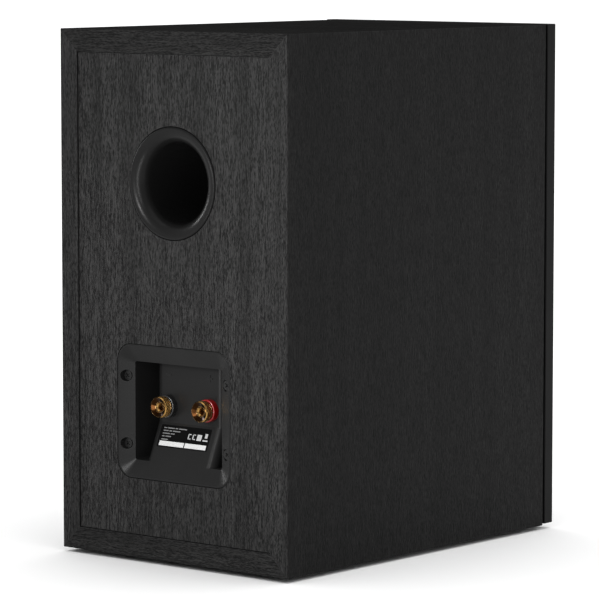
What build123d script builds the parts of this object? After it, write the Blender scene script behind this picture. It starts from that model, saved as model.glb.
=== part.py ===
from build123d import *
import math
import os

# A two-way bookshelf loudspeaker with a rear port. Millimetres, +Z up.
# The front baffle faces -Y and the terminals face +Y. The origin is the middle of the
# footprint, on the surface that the rubber feet stand on.

# ---- driving dimensions ----
WIDTH = 198.0
HEIGHT = 350.0
CABINET_DEPTH = 278.2
PANEL = 15.0
FOOT_HEIGHT = 3.0
EDGE_BREAK = 0.4

SHADOW_GAP = 2.0
GAP_INSET = 4.0
FLANGE = 9.5
PLUG_DEPTH = 8.5
BAFFLE_OVERHANG = 0.4
BAFFLE_LIFT = 0.95

ROLL_RADIUS = 4.5
ROLL_THICKNESS = 0.9
SURROUND_SEAT = 1.5
SURROUND_PROUD = ROLL_RADIUS + ROLL_THICKNESS - SURROUND_SEAT

REAR_INSET = 0.9
REAR_GROOVE = 0.6
REAR_GROOVE_DEPTH = 2.0

PORT_HEIGHT = 250.4
PORT_THROAT = 27.0
PORT_FLARE = 8.8
PORT_BEAD = 1.3
PORT_LENGTH = 150.0
PORT_WALL = 2.5
PORT_FLANGE = 4.5
PORT_GAP = 0.5
PORT_HOLE = 31.0

CUP_WIDTH = 99.0
CUP_BOTTOM = 53.0
CUP_TOP = 142.5
CUP_CORNER = 12.0
POCKET_HALF = 38.1
POCKET_BOTTOM = 64.5
POCKET_TOP = 130.6
POCKET_DEPTH = 31.0
CUP_WALL = 2.5
CUP_GAP = 0.3
BLOCK_HALF = 29.6
BLOCK_WALL = 3.0
BLOCK_DEPTH = 17.0
BLOCK_ROUND = 6.0
RAMP_TOP = 90.0
CUP_SCREW_X = 43.6
CUP_SCREW_HEIGHTS = (75.3, 120.7)
CUP_SCREW_HEAD = 3.3
CUP_SCREW_RECESS = 3.9
CUP_SCREW_SEAT = 6.4
CUP_SCREW_END = 14.8
CUP_SCREW_HOLE = 2.1
LABEL_WIDTH = 44.0
LABEL_HEIGHT = 15.4
LABEL_MIDDLE = 81.4
LABEL_OFFSET = 1.3
LABEL_THICKNESS = 0.15

POST_X = 18.0
POST_HEIGHT = 101.0
STUD_RADIUS = 3.5
STUD_END = 33.0
BANANA_RADIUS = 2.05
BANANA_DEPTH = 17.0
BANANA_LEAD = 0.9
CABLE_HOLE = 1.3
KNOB_RADIUS = 7.0
KNOB_FRONT = 6.1
KNOB_DISH = 1.6
POST_RING = 4.4
POST_RING_RADIUS = 7.6
POST_WASHER = 1.0
RUNNING_GAP = 0.05

WOOFER_HEIGHT = 110.0
WOOFER_FRAME = 86.0
WOOFER_FLANGE = 5.2
WOOFER_CUTOUT = 73.2
WOOFER_SCREWS = 6
WOOFER_SCREW_RADIUS = 80.5
CONE_EDGE = 61.5
TWEETER_HEIGHT = 274.0
TWEETER_PLATE = 52.0
TWEETER_FLANGE = 4.0
TWEETER_CUTOUT = 38.0
TWEETER_SCREWS = 4
TWEETER_SCREW_RADIUS = 44.5
DRIVER_GAP = 0.3
MAGNET_START = 44.0
SPIDER_LEVEL = 30.3
SPIDER_THICKNESS = 0.7

BRACE_Y = 11.0
BRACE_THICKNESS = 12.0
BOARD_MID_Y = 62.0
BOARD_HALF_X = 60.0
BOARD_HALF_Y = 40.0
STANDOFF_HEIGHT = 8.0
BOARD_THICKNESS = 1.6

WIRE_RADIUS = 1.2
WOOFER_TAB_DEPTH = 33.0
WOOFER_TAB_END = 60.5
TWEETER_TAB_END = 34.6
TWEETER_TAB_DROP = 27.0

# ---- derived places ----
HALF_WIDTH = WIDTH / 2
CABINET_BOTTOM = FOOT_HEIGHT
CABINET_TOP = FOOT_HEIGHT + HEIGHT
TOTAL_DEPTH = SURROUND_PROUD + FLANGE + SHADOW_GAP + CABINET_DEPTH
REAR_Y = TOTAL_DEPTH / 2
CABINET_FRONT_Y = REAR_Y - CABINET_DEPTH
BAFFLE_BACK_Y = CABINET_FRONT_Y - SHADOW_GAP
BAFFLE_FRONT_Y = BAFFLE_BACK_Y - FLANGE
BAFFLE_THICKNESS = FLANGE + SHADOW_GAP + PLUG_DEPTH
INNER_HALF = HALF_WIDTH - PANEL
INNER_BOTTOM = CABINET_BOTTOM + PANEL
INNER_TOP = CABINET_TOP - PANEL
WOOFER_Z = FOOT_HEIGHT + WOOFER_HEIGHT
TWEETER_Z = FOOT_HEIGHT + TWEETER_HEIGHT
PORT_Z = FOOT_HEIGHT + PORT_HEIGHT
POST_Z = FOOT_HEIGHT + POST_HEIGHT
CUP_MID_Z = FOOT_HEIGHT + (CUP_BOTTOM + CUP_TOP) / 2
RIM_DEPTH = 1.0
RAMP_SLOPE = (BLOCK_DEPTH - RIM_DEPTH) / (RAMP_TOP - CUP_BOTTOM)
FUNNEL_DEPTH = RIM_DEPTH + (POCKET_BOTTOM - CUP_BOTTOM) * RAMP_SLOPE
REBATE_DEPTH = 8.2
GASKET = 0.8
POCKET_REACH = POCKET_HALF + CUP_WALL + 0.7
POCKET_LOW_Z = FOOT_HEIGHT + POCKET_BOTTOM - CUP_WALL - 0.7
POCKET_HIGH_Z = FOOT_HEIGHT + POCKET_TOP + CUP_WALL + 0.7
BOARD_Z = INNER_BOTTOM + STANDOFF_HEIGHT
BOARD_TOP = BOARD_Z + BOARD_THICKNESS


# ---- helpers ----
def block(x0, x1, y0, y1, z0, z1):
    """A box between two opposite corners."""
    middle = Pos((x0 + x1) / 2, (y0 + y1) / 2, (z0 + z1) / 2)
    return middle * Box(x1 - x0, y1 - y0, z1 - z0)


def rear(x, z):
    """A place on the rear plane. Its own Z is depth into the cabinet, and its own Y is up."""
    return Pos(x, REAR_Y, z) * Rot(90, 0, 0)


def front(z):
    """A place on the baffle's front plane. Its own Z is depth into the cabinet."""
    return Pos(0, BAFFLE_FRONT_Y, z) * Rot(-90, 0, 0)


def disc(radius, start, end):
    """A round solid between two depths."""
    return Pos(0, 0, (start + end) / 2) * Cylinder(radius, end - start)


def ring(outer, inner, start, end):
    """A washer between two depths."""
    return disc(outer, start, end) - disc(inner, start - 1, end + 1)


def turned(outline):
    """Turn a closed outline, drawn as radius and depth, about the depth axis."""
    return revolve(Plane.XZ * make_face(outline), axis=Axis.Z)


def turned_points(*points):
    """Turn a straight-sided outline."""
    return turned(Polyline(*points, close=True))


def around(count, radius, offset=0.0):
    """Evenly spaced places on a circle."""
    step = 360 / count
    return [Rot(0, 0, offset + i * step) * Pos(radius, 0, 0) for i in range(count)]


def save(node, *solids):
    """Write one sub-part, as one solid or as a group of separate solids."""
    pieces = [piece for solid in solids for piece in solid.solids()]
    shape = pieces[0] if len(pieces) == 1 else Compound(children=pieces)
    export_step(shape, f"parts/{node}.step")


def cross_screw(head, head_height, shank, length):
    """A cross-head screw. Its head's top is at depth 0 and its shank runs to the stated depth."""
    body = disc(head, 0, head_height) + disc(shank, head_height, length)
    slot_width = head * 0.26
    slot_length = head * 1.15
    slot_depth = head_height * 0.6
    for angle in (0, 90):
        slot = Box(slot_length, slot_width, slot_depth * 2)
        body = body - Rot(0, 0, angle + 45) * slot
    return body


# ---- cabinet ----
def cabinet_envelope():
    """The outside of the four folded panels, with its edges broken."""
    body = block(-HALF_WIDTH, HALF_WIDTH, CABINET_FRONT_Y, REAR_Y, CABINET_BOTTOM, CABINET_TOP)
    return chamfer(body.edges(), EDGE_BREAK)


def mitred_panel(points):
    """One panel of the cabinet, from its four corners across the width and height."""
    face = Plane.XZ * make_face(Polyline(*points, close=True))
    panel = extrude(face, CABINET_DEPTH)
    return Pos(0, REAR_Y, 0) * panel & cabinet_envelope()


def make_cabinet():
    outer_low = (HALF_WIDTH, CABINET_BOTTOM)
    outer_high = (HALF_WIDTH, CABINET_TOP)
    inner_low = (INNER_HALF, INNER_BOTTOM)
    inner_high = (INNER_HALF, INNER_TOP)

    def mirrored(point):
        return (-point[0], point[1])

    save("side_panel_right", mitred_panel([outer_low, outer_high, inner_high, inner_low]))
    left = [mirrored(p) for p in (outer_low, outer_high, inner_high, inner_low)]
    save("side_panel_left", mitred_panel(left))
    top = [outer_high, mirrored(outer_high), mirrored(inner_high), inner_high]
    save("top_panel", mitred_panel(top))
    bottom = [outer_low, mirrored(outer_low), mirrored(inner_low), inner_low]
    save("bottom_panel", mitred_panel(bottom))


def make_rear_panel():
    """The inset rear panel, with the port hole and the rebated terminal cut-out."""
    outside = REAR_Y - REAR_INSET
    panel = block(-INNER_HALF, INNER_HALF, outside - PANEL, outside, INNER_BOTTOM, INNER_TOP)
    groove_floor = outside - REAR_GROOVE_DEPTH
    rim = block(-INNER_HALF, INNER_HALF, groove_floor, outside, INNER_BOTTOM, INNER_TOP)
    face_half = INNER_HALF - REAR_GROOVE
    face_low = INNER_BOTTOM + REAR_GROOVE
    face_high = INNER_TOP - REAR_GROOVE
    rim = rim - block(-face_half, face_half, groove_floor, outside, face_low, face_high)
    panel = panel - rim
    port = rear(0, PORT_Z)
    port_seat = PORT_THROAT + PORT_FLARE + PORT_BEAD + PORT_GAP
    panel = panel - port * disc(port_seat, 0, PORT_FLANGE)
    panel = panel - port * disc(PORT_HOLE, 0, 2 * PANEL)
    rebate = RectangleRounded(
        CUP_WIDTH + 2 * CUP_GAP, CUP_TOP - CUP_BOTTOM + 2 * CUP_GAP, CUP_CORNER + CUP_GAP
    )
    panel = panel - rear(0, CUP_MID_Z) * extrude(rebate, REBATE_DEPTH)
    panel = panel - pocket_cutout()
    pilot_radius = 1.6
    pilot_depth = CUP_SCREW_END + 0.4
    for place in cup_screw_places():
        panel = panel - place * disc(pilot_radius, 0, pilot_depth)
    save("rear_panel", panel)


def pocket_cutout():
    """The space that the cup's pocket takes behind its flange."""
    return block(
        -POCKET_REACH, POCKET_REACH, REAR_Y - 2 * PANEL, REAR_Y, POCKET_LOW_Z, POCKET_HIGH_Z
    )


def make_baffle():
    """The front baffle: a flange, a neck that leaves the shadow gap, and a glued plug."""
    low = CABINET_BOTTOM + BAFFLE_LIFT
    high = CABINET_TOP + BAFFLE_OVERHANG
    flange = block(-HALF_WIDTH, HALF_WIDTH, BAFFLE_FRONT_Y, BAFFLE_BACK_Y, low, high)
    edge_break = 0.5
    flange = chamfer(flange.edges(), edge_break)
    neck_half = HALF_WIDTH - GAP_INSET
    neck_low = CABINET_BOTTOM + GAP_INSET
    neck_high = CABINET_TOP - GAP_INSET
    neck = block(-neck_half, neck_half, BAFFLE_BACK_Y - 1, CABINET_FRONT_Y, neck_low, neck_high)
    plug_end = CABINET_FRONT_Y + PLUG_DEPTH
    plug = block(-INNER_HALF, INNER_HALF, BAFFLE_BACK_Y, plug_end, INNER_BOTTOM, INNER_TOP)
    baffle = flange + neck + plug
    through = BAFFLE_THICKNESS + 1
    woofer = front(WOOFER_Z)
    baffle = baffle - woofer * disc(WOOFER_FRAME + DRIVER_GAP, -1, WOOFER_FLANGE)
    baffle = baffle - woofer * disc(WOOFER_CUTOUT, 0, through)
    woofer_pilot = 1.8
    for place in around(WOOFER_SCREWS, WOOFER_SCREW_RADIUS, 30):
        baffle = baffle - woofer * place * disc(woofer_pilot, 0, 18.0)
    tweeter = front(TWEETER_Z)
    baffle = baffle - tweeter * disc(TWEETER_PLATE + DRIVER_GAP, -1, TWEETER_FLANGE)
    baffle = baffle - tweeter * disc(TWEETER_CUTOUT, 0, through)
    tweeter_pilot = 1.6
    for place in around(TWEETER_SCREWS, TWEETER_SCREW_RADIUS, 45):
        baffle = baffle - tweeter * place * disc(tweeter_pilot, 0, 15.0)
    save("front_baffle", baffle)


def make_brace():
    """A windowed brace glued across the middle of the cabinet."""
    start = BRACE_Y - BRACE_THICKNESS / 2
    end = BRACE_Y + BRACE_THICKNESS / 2
    brace = block(-INNER_HALF, INNER_HALF, start, end, INNER_BOTTOM, INNER_TOP)
    window_half = 60
    window_corner = 14
    for low, high in ((40, 175), (197, 318)):
        window = block(-window_half, window_half, start - 5, end + 5, low, high)
        brace = brace - fillet(window.edges().filter_by(Axis.Y), window_corner)
    save("window_brace", brace)


def make_feet():
    """Four self-adhesive rubber feet."""
    foot_radius = 8
    spread = 80
    feet = []
    for x in (-spread, spread):
        for y in (CABINET_FRONT_Y + 24, REAR_Y - 26):
            foot = disc(foot_radius, 0, FOOT_HEIGHT)
            foot = fillet(foot.edges().group_by(Axis.Z)[0], 0.8)
            feet.append(Pos(x, y, 0) * foot)
    save("rubber_feet", *feet)


def make_wadding():
    """Soft damping pads on the two side panels, behind the brace."""
    clearance = 0.3
    thickness = 17
    softness = 5
    for node, side in (("wadding_left", -1), ("wadding_right", 1)):
        inner, outer = sorted((side * (INNER_HALF - clearance), side * (INNER_HALF - thickness)))
        pad = block(inner, outer, 18, 127, 72, 330)
        save(node, fillet(pad.edges(), softness))


# ---- port ----
def make_port():
    """The outer flare with its flange and throat, and the tube with the inner flare."""
    lip = PORT_THROAT + PORT_FLARE
    outer_edge = lip + PORT_BEAD
    crest_turn = PORT_BEAD * math.sqrt(0.5)
    flare_turn = PORT_FLARE * math.sqrt(0.5)
    back_turn = 7.5
    joint = 62.0
    socket = 10.0
    outside = PORT_THROAT + PORT_WALL
    spigot = PORT_THROAT + PORT_WALL / 2
    bead = ThreePointArc(
        (outer_edge, PORT_BEAD),
        (lip + crest_turn, PORT_BEAD - crest_turn),
        (lip, 0),
    )
    flare = ThreePointArc(
        (lip, 0),
        (lip - flare_turn, PORT_FLARE - flare_turn),
        (PORT_THROAT, PORT_FLARE),
    )
    back = Polyline(
        (PORT_THROAT, PORT_FLARE),
        (PORT_THROAT, joint),
        (spigot, joint),
        (spigot, joint - socket),
        (outside, joint - socket),
        (outside, PORT_FLANGE + back_turn),
        (PORT_HOLE - 0.4, PORT_FLANGE),
        (outer_edge, PORT_FLANGE),
        (outer_edge, PORT_BEAD),
    )
    place = rear(0, PORT_Z)
    save("port_flare", place * turned(bead + flare + back))

    inner_flare = 7.0
    straight_end = PORT_LENGTH - inner_flare
    turn = inner_flare * math.sqrt(0.5)
    mouth = ThreePointArc(
        (PORT_THROAT, straight_end),
        (PORT_THROAT + inner_flare - turn, straight_end + turn),
        (PORT_THROAT + inner_flare, PORT_LENGTH),
    )
    tube = Polyline(
        (PORT_THROAT + inner_flare, PORT_LENGTH),
        (PORT_THROAT + inner_flare + 1, PORT_LENGTH - 1),
        (outside, straight_end - 2),
        (outside, joint - socket),
        (spigot, joint - socket),
        (spigot, joint),
        (PORT_THROAT, joint),
        (PORT_THROAT, straight_end),
    )
    save("port_tube", place * turned(mouth + tube))


# ---- terminal cup ----
def cup_screw_places():
    """Where the four cup screws enter, on the rear plane."""
    places = []
    for x in (-CUP_SCREW_X, CUP_SCREW_X):
        for height in CUP_SCREW_HEIGHTS:
            places.append(rear(x, FOOT_HEIGHT + height))
    return places


def ramp_profile(depth_shift, back):
    """The side outline of the central block, with its ramp, as height and depth."""
    low = POCKET_BOTTOM - CUP_WALL
    return [
        (low, RIM_DEPTH + (low - CUP_BOTTOM) * RAMP_SLOPE + depth_shift),
        (RAMP_TOP, BLOCK_DEPTH + depth_shift),
        (POCKET_TOP + CUP_WALL, BLOCK_DEPTH + depth_shift),
        (POCKET_TOP + CUP_WALL, back),
        (low, back),
    ]


def block_solid(half, depth_shift, back):
    """The central block or its hollow, as wide as twice half."""
    points = ramp_profile(depth_shift, back)
    corners = [(REAR_Y - d, FOOT_HEIGHT + h) for h, d in points]
    face = Plane.YZ * make_face(Polyline(*corners, close=True))
    return Pos(-half, 0, 0) * extrude(face, 2 * half)


def cup_slice(low, high):
    """All of the cup between two heights."""
    return block(-CUP_WIDTH, CUP_WIDTH, REAR_Y - 2 * POCKET_DEPTH, REAR_Y + 1, low, high)


def make_cup():
    """The moulded cup: a sloped frame, a pocket, and a central block that carries the posts."""
    place = rear(0, CUP_MID_Z)
    frame_height = CUP_TOP - CUP_BOTTOM
    plate_end = REBATE_DEPTH - GASKET
    plate = place * Pos(0, 0, RIM_DEPTH) * extrude(
        RectangleRounded(CUP_WIDTH, frame_height, CUP_CORNER), plate_end - RIM_DEPTH
    )
    rim_round = 0.5
    plate = fillet(plate.faces().sort_by(Axis.Y)[-1].edges(), rim_round)

    low = FOOT_HEIGHT + POCKET_BOTTOM
    high = FOOT_HEIGHT + POCKET_TOP
    pocket_mid = (low + high) / 2 - CUP_MID_Z
    shell = block(
        -POCKET_HALF - CUP_WALL,
        POCKET_HALF + CUP_WALL,
        REAR_Y - POCKET_DEPTH - CUP_WALL,
        REAR_Y - plate_end + 1,
        low - CUP_WALL,
        high + CUP_WALL,
    )
    pocket = block(
        -POCKET_HALF, POCKET_HALF, REAR_Y - POCKET_DEPTH, REAR_Y + 1, low, high
    )
    pocket = fillet(pocket.edges().filter_by(Axis.Y), 1.5)

    mouth = RectangleRounded(CUP_WIDTH - 2.4, frame_height - 2.4, CUP_CORNER - 1.2)
    throat = RectangleRounded(2 * POCKET_HALF, POCKET_TOP - POCKET_BOTTOM, 1.5)
    funnel = place * loft(
        [
            Pos(0, 0, RIM_DEPTH - 0.02) * mouth.face(),
            Pos(0, pocket_mid, FUNNEL_DEPTH) * throat.face(),
        ]
    )

    core = block_solid(BLOCK_HALF, 0, POCKET_DEPTH + CUP_WALL)
    front_edges = [
        edge
        for edge in core.edges()
        if abs(abs(edge.center().X) - BLOCK_HALF) < 0.01
        and edge.center().Y > REAR_Y - BLOCK_DEPTH - 0.5
        and abs(edge.center().Z - FOOT_HEIGHT - POCKET_TOP - CUP_WALL) > 0.01
        and edge.center().Z > low - CUP_WALL + 0.01
    ]
    core = fillet(front_edges, BLOCK_ROUND)
    hollow = block_solid(BLOCK_HALF - BLOCK_WALL, BLOCK_WALL + 0.2, POCKET_DEPTH + CUP_WALL + 1)
    hollow = hollow & cup_slice(low + 2, high - 0.5)

    cup = (plate + shell) - funnel - pocket
    cup = cup + (core & cup_slice(low - 0.5, high + 0.5))
    cup = cup - hollow
    for screw in cup_screw_places():
        cup = cup - screw * disc(CUP_SCREW_RECESS, 0, CUP_SCREW_SEAT)
        cup = cup - screw * disc(CUP_SCREW_HOLE, 0, 12)
    stroke_long = 5.0
    stroke_wide = 1.1
    stroke_proud = 0.7
    for x in (-POST_X, POST_X):
        cup = cup - rear(x, POST_Z) * disc(STUD_RADIUS + 0.1, 10, 30)
        sign = rear(x, POST_Z + 21) * Pos(0, 0, BLOCK_DEPTH)
        cup = cup + sign * Box(stroke_long, stroke_wide, stroke_proud)
        if x < 0:
            cup = cup + sign * Box(stroke_wide, stroke_long, stroke_proud)
    save("terminal_cup", cup)


def make_cup_gasket():
    """The foam gasket between the cup's flange and the rear panel."""
    place = rear(0, CUP_MID_Z)
    outline = RectangleRounded(CUP_WIDTH - 1, CUP_TOP - CUP_BOTTOM - 1, CUP_CORNER - 0.5)
    start = REBATE_DEPTH - GASKET
    gasket = place * Pos(0, 0, start) * extrude(outline, GASKET)
    gasket = gasket - pocket_cutout()
    for screw in cup_screw_places():
        gasket = gasket - screw * disc(CUP_SCREW_HOLE, 0, 12)
    save("terminal_gasket", gasket)


def make_cup_screws():
    """Four screws, sunk in the round recesses of the cup's frame."""
    head_height = 1.6
    start = CUP_SCREW_SEAT - head_height
    screws = []
    for place in cup_screw_places():
        screw = cross_screw(CUP_SCREW_HEAD, head_height, 1.5, CUP_SCREW_END - start)
        screws.append(place * Pos(0, 0, start) * screw)
    save("terminal_screws", *screws)


def make_label():
    """The thin label on the ramp below the posts."""
    angle = math.degrees(math.atan(RAMP_SLOPE))
    depth = RIM_DEPTH + (LABEL_MIDDLE - CUP_BOTTOM) * RAMP_SLOPE
    outline = RectangleRounded(LABEL_WIDTH, LABEL_HEIGHT, 1.0)
    label = Pos(0, 0, -LABEL_THICKNESS) * extrude(outline, LABEL_THICKNESS)
    place = rear(LABEL_OFFSET, FOOT_HEIGHT + LABEL_MIDDLE) * Pos(0, 0, depth)
    save("label_plate", place * Rot(angle, 0, 0) * label)


def make_posts():
    """The binding posts: stud, coloured base ring, captive clamp washer and screw-down knob."""
    ring_front = BLOCK_DEPTH - POST_RING
    washer_front = ring_front - POST_WASHER
    stud_front = KNOB_FRONT + KNOB_DISH
    bore = STUD_RADIUS + RUNNING_GAP
    inside = BLOCK_DEPTH + BLOCK_WALL + 0.2
    tab_thickness = 0.8
    tab_ring = 6.0
    nut_radius = 6.0
    nut_thickness = 3.5
    nuts = []
    tabs = []
    for sign, side in (("negative", 1), ("positive", -1)):
        place = rear(side * POST_X, POST_Z)
        stud = disc(STUD_RADIUS, stud_front, STUD_END)
        stud = stud - disc(BANANA_RADIUS, 0, stud_front + BANANA_LEAD + BANANA_DEPTH)
        lead = turned_points(
            (0, stud_front - 0.1),
            (BANANA_RADIUS + BANANA_LEAD + 0.1, stud_front - 0.1),
            (BANANA_RADIUS, stud_front + BANANA_LEAD),
            (0, stud_front + BANANA_LEAD),
        )
        stud = stud - lead
        stud = stud - Pos(0, 0, ring_front - CABLE_HOLE) * Rot(90, 0, 0) * Cylinder(CABLE_HOLE, 20)
        save(f"post_stud_{sign}", place * stud)

        base = ring(POST_RING_RADIUS, bore, ring_front, BLOCK_DEPTH)
        outer_edge = base.edges().filter_by(GeomType.CIRCLE).group_by(Axis.Z)[0].sort_by(
            SortBy.RADIUS
        )[-1]
        save(f"base_ring_{sign}", place * fillet(outer_edge, 0.8))

        washer = ring(KNOB_RADIUS - 1.0, bore, washer_front, ring_front)
        save(f"clamp_washer_{sign}", place * washer)

        knob = turned_points(
            (bore, stud_front),
            (KNOB_RADIUS - 0.9, KNOB_FRONT + 0.1),
            (KNOB_RADIUS - 0.7, KNOB_FRONT),
            (KNOB_RADIUS - 0.5, KNOB_FRONT),
            (KNOB_RADIUS, KNOB_FRONT + 0.5),
            (KNOB_RADIUS, washer_front - 1.3),
            (KNOB_RADIUS - 0.5, washer_front - 1.0),
            (KNOB_RADIUS, washer_front - 0.7),
            (KNOB_RADIUS, washer_front - 0.3),
            (KNOB_RADIUS - 0.3, washer_front),
            (bore, washer_front),
        )
        save(f"knob_{sign}", place * knob)

        tab = ring(tab_ring, bore, inside, inside + tab_thickness)
        tongue = Pos(0, -9.5, inside + tab_thickness / 2) * Box(5.0, 9.0, tab_thickness)
        tabs.append(place * (tab + tongue))
        nut = extrude(RegularPolygon(nut_radius, 6), nut_thickness)
        nut = nut - disc(bore, -1, nut_thickness + 1)
        nuts.append(place * Pos(0, 0, inside + tab_thickness) * nut)
    save("solder_tabs", *tabs)
    save("post_nuts", *nuts)


# ---- crossover ----
def board_places():
    """The four fixing points of the board."""
    inset = 6.0
    reach_x = BOARD_HALF_X - inset
    reach_y = BOARD_HALF_Y - inset
    return [Pos(x, BOARD_MID_Y + y, 0) for x in (-reach_x, reach_x) for y in (-reach_y, reach_y)]


def coil(outer, inner, height):
    """A wound air-core inductor, as its outer shape."""
    winding = ring(outer, inner, 0, height)
    return fillet(winding.edges(), 1.5)


def lying_can(radius, length, edge):
    """A round capacitor that lies along X."""
    can = Rot(0, 90, 0) * disc(radius, -length / 2, length / 2)
    return fillet(can.edges(), edge)


def make_crossover():
    """The dividing network on its board, standing on the bottom panel."""
    front_y = BOARD_MID_Y - BOARD_HALF_Y
    back_y = BOARD_MID_Y + BOARD_HALF_Y
    board = block(-BOARD_HALF_X, BOARD_HALF_X, front_y, back_y, BOARD_Z, BOARD_TOP)
    screw_hole = 1.9
    head_height = 2.2
    standoffs = []
    screws = []
    for place in board_places():
        board = board - place * disc(screw_hole, BOARD_Z - 1, BOARD_TOP + 1)
        standoffs.append(place * ring(4.0, screw_hole, INNER_BOTTOM, BOARD_Z))
        screw = Rot(180, 0, 0) * cross_screw(3.4, head_height, 1.7, 11.8)
        screws.append(place * Pos(0, 0, BOARD_TOP + head_height) * screw)
    save("crossover_board", board)
    save("board_standoffs", *standoffs)
    save("board_screws", *screws)

    upright = coil(outer=22, inner=9, height=20)
    save("woofer_inductor", Pos(-26, BOARD_MID_Y - 6, BOARD_TOP) * upright)
    lying_radius = 13
    lying_height = 14
    lying = coil(outer=lying_radius, inner=6, height=lying_height)
    lying = Rot(90, 0, 0) * Pos(0, 0, -lying_height / 2) * lying
    save("tweeter_inductor", Pos(16, BOARD_MID_Y - 22, BOARD_TOP + lying_radius) * lying)
    large = 10
    large_length = 38
    small = 7
    small_length = 30
    large_place = Pos(25, BOARD_MID_Y + 24, BOARD_TOP + large)
    small_place = Pos(26, BOARD_MID_Y + 3, BOARD_TOP + small)
    save("woofer_capacitor", large_place * lying_can(large, large_length, 2))
    save("tweeter_capacitor", small_place * lying_can(small, small_length, 1.5))
    half_side = 4.5
    resistors = []
    for y in (BOARD_MID_Y - 30, BOARD_MID_Y + 28):
        body = block(-44, -12, y - half_side, y + half_side, BOARD_TOP, BOARD_TOP + 2 * half_side)
        resistors.append(fillet(body.edges().filter_by(Axis.X), 1))
    save("resistors", *resistors)


def wire(points):
    """A wire along a route of straight runs joined by tangent arcs."""
    vectors = [Vector(*p) for p in points]
    radii = []
    for before, here, after in zip(vectors, vectors[1:], vectors[2:]):
        first = here - before
        second = after - here
        turn = math.radians(first.get_angle(second))
        radii.append(0.45 * min(first.length, second.length) / math.tan(turn / 2))
    path = FilletPolyline(*points, radius=radii)
    section = Plane(path @ 0, z_dir=path % 0) * Circle(WIRE_RADIUS)
    solid = sweep(section, path=path)
    expected = math.pi * WIRE_RADIUS**2 * path.length
    ratio = solid.volume / expected
    print(f"wire: length {path.length:.1f}, volume ratio {ratio:.4f}, least radius {min(radii):.1f}")
    return solid


def make_wires():
    """The internal wiring: from the posts to the board, and from the board to each driver."""
    tab_y = REAR_Y - BLOCK_DEPTH - 4.0
    tab_z = POST_Z - 12.5
    woofer_y = BAFFLE_FRONT_Y + WOOFER_TAB_DEPTH
    woofer_z = WOOFER_Z - WOOFER_TAB_END
    tweeter_y = BAFFLE_FRONT_Y + TWEETER_TAB_END
    tweeter_z = TWEETER_Z - TWEETER_TAB_DROP
    pairs = {"input_wires": [], "woofer_wires": [], "tweeter_wires": []}
    for side in (-1, 1):
        pairs["input_wires"].append(
            wire(
                [
                    (side * POST_X, tab_y, tab_z),
                    (side * POST_X, tab_y - 22, tab_z),
                    (side * (POST_X + 8), tab_y - 34, tab_z - 22),
                    (side * 50, tab_y - 36, BOARD_TOP + 20),
                    (side * 50, tab_y - 36, BOARD_TOP),
                ]
            )
        )
        x = side * 4.0
        pairs["woofer_wires"].append(
            wire(
                [
                    (x, BOARD_MID_Y - 34, BOARD_TOP),
                    (x, BOARD_MID_Y - 34, BOARD_TOP + 24),
                    (x, 2, 60),
                    (x, -30, 57),
                    (x + side * 1, -60, 49),
                    (x + side * 3, -84, 37),
                    (x + side * 3, -101, 32),
                    (x + side * 3, woofer_y, 38),
                    (x + side * 3, woofer_y, woofer_z),
                ]
            )
        )
        pairs["tweeter_wires"].append(
            wire(
                [
                    (x + 2, BOARD_MID_Y + 12, BOARD_TOP),
                    (x + 2, BOARD_MID_Y + 12, BOARD_TOP + 42),
                    (x + 36, BOARD_MID_Y - 12, 122),
                    (x + 46, 42, 176),
                    (x + 46, 10, 222),
                    (x + 36, -34, 244),
                    (x + side * 2 + 8, -72, tweeter_z + 1),
                    (x + side * 2, tweeter_y + 18, tweeter_z),
                    (x + side * 2, tweeter_y, tweeter_z),
                ]
            )
        )
    for node, pair in pairs.items():
        save(node, *pair)


# ---- woofer ----
def roll_outline(outer, inner, middle, radius, seat, thickness, lift):
    """A half-round roll between two flat lips. Depth runs into the cabinet, and the roll bulges out."""
    face = seat - thickness
    big = radius + thickness / 2
    small = radius - thickness / 2
    crest = face - big + lift
    hollow = face - small + lift
    return (
        Line((outer, seat), (outer, face))
        + Line((outer, face), (middle + big, face))
        + ThreePointArc((middle + big, face), (middle, crest), (middle - big, face))
        + Line((middle - big, face), (inner, face))
        + Line((inner, face), (inner, seat))
        + Line((inner, seat), (middle - small, seat))
        + ThreePointArc((middle - small, seat), (middle, hollow), (middle + small, seat))
        + Line((middle + small, seat), (outer, seat))
    )


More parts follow.
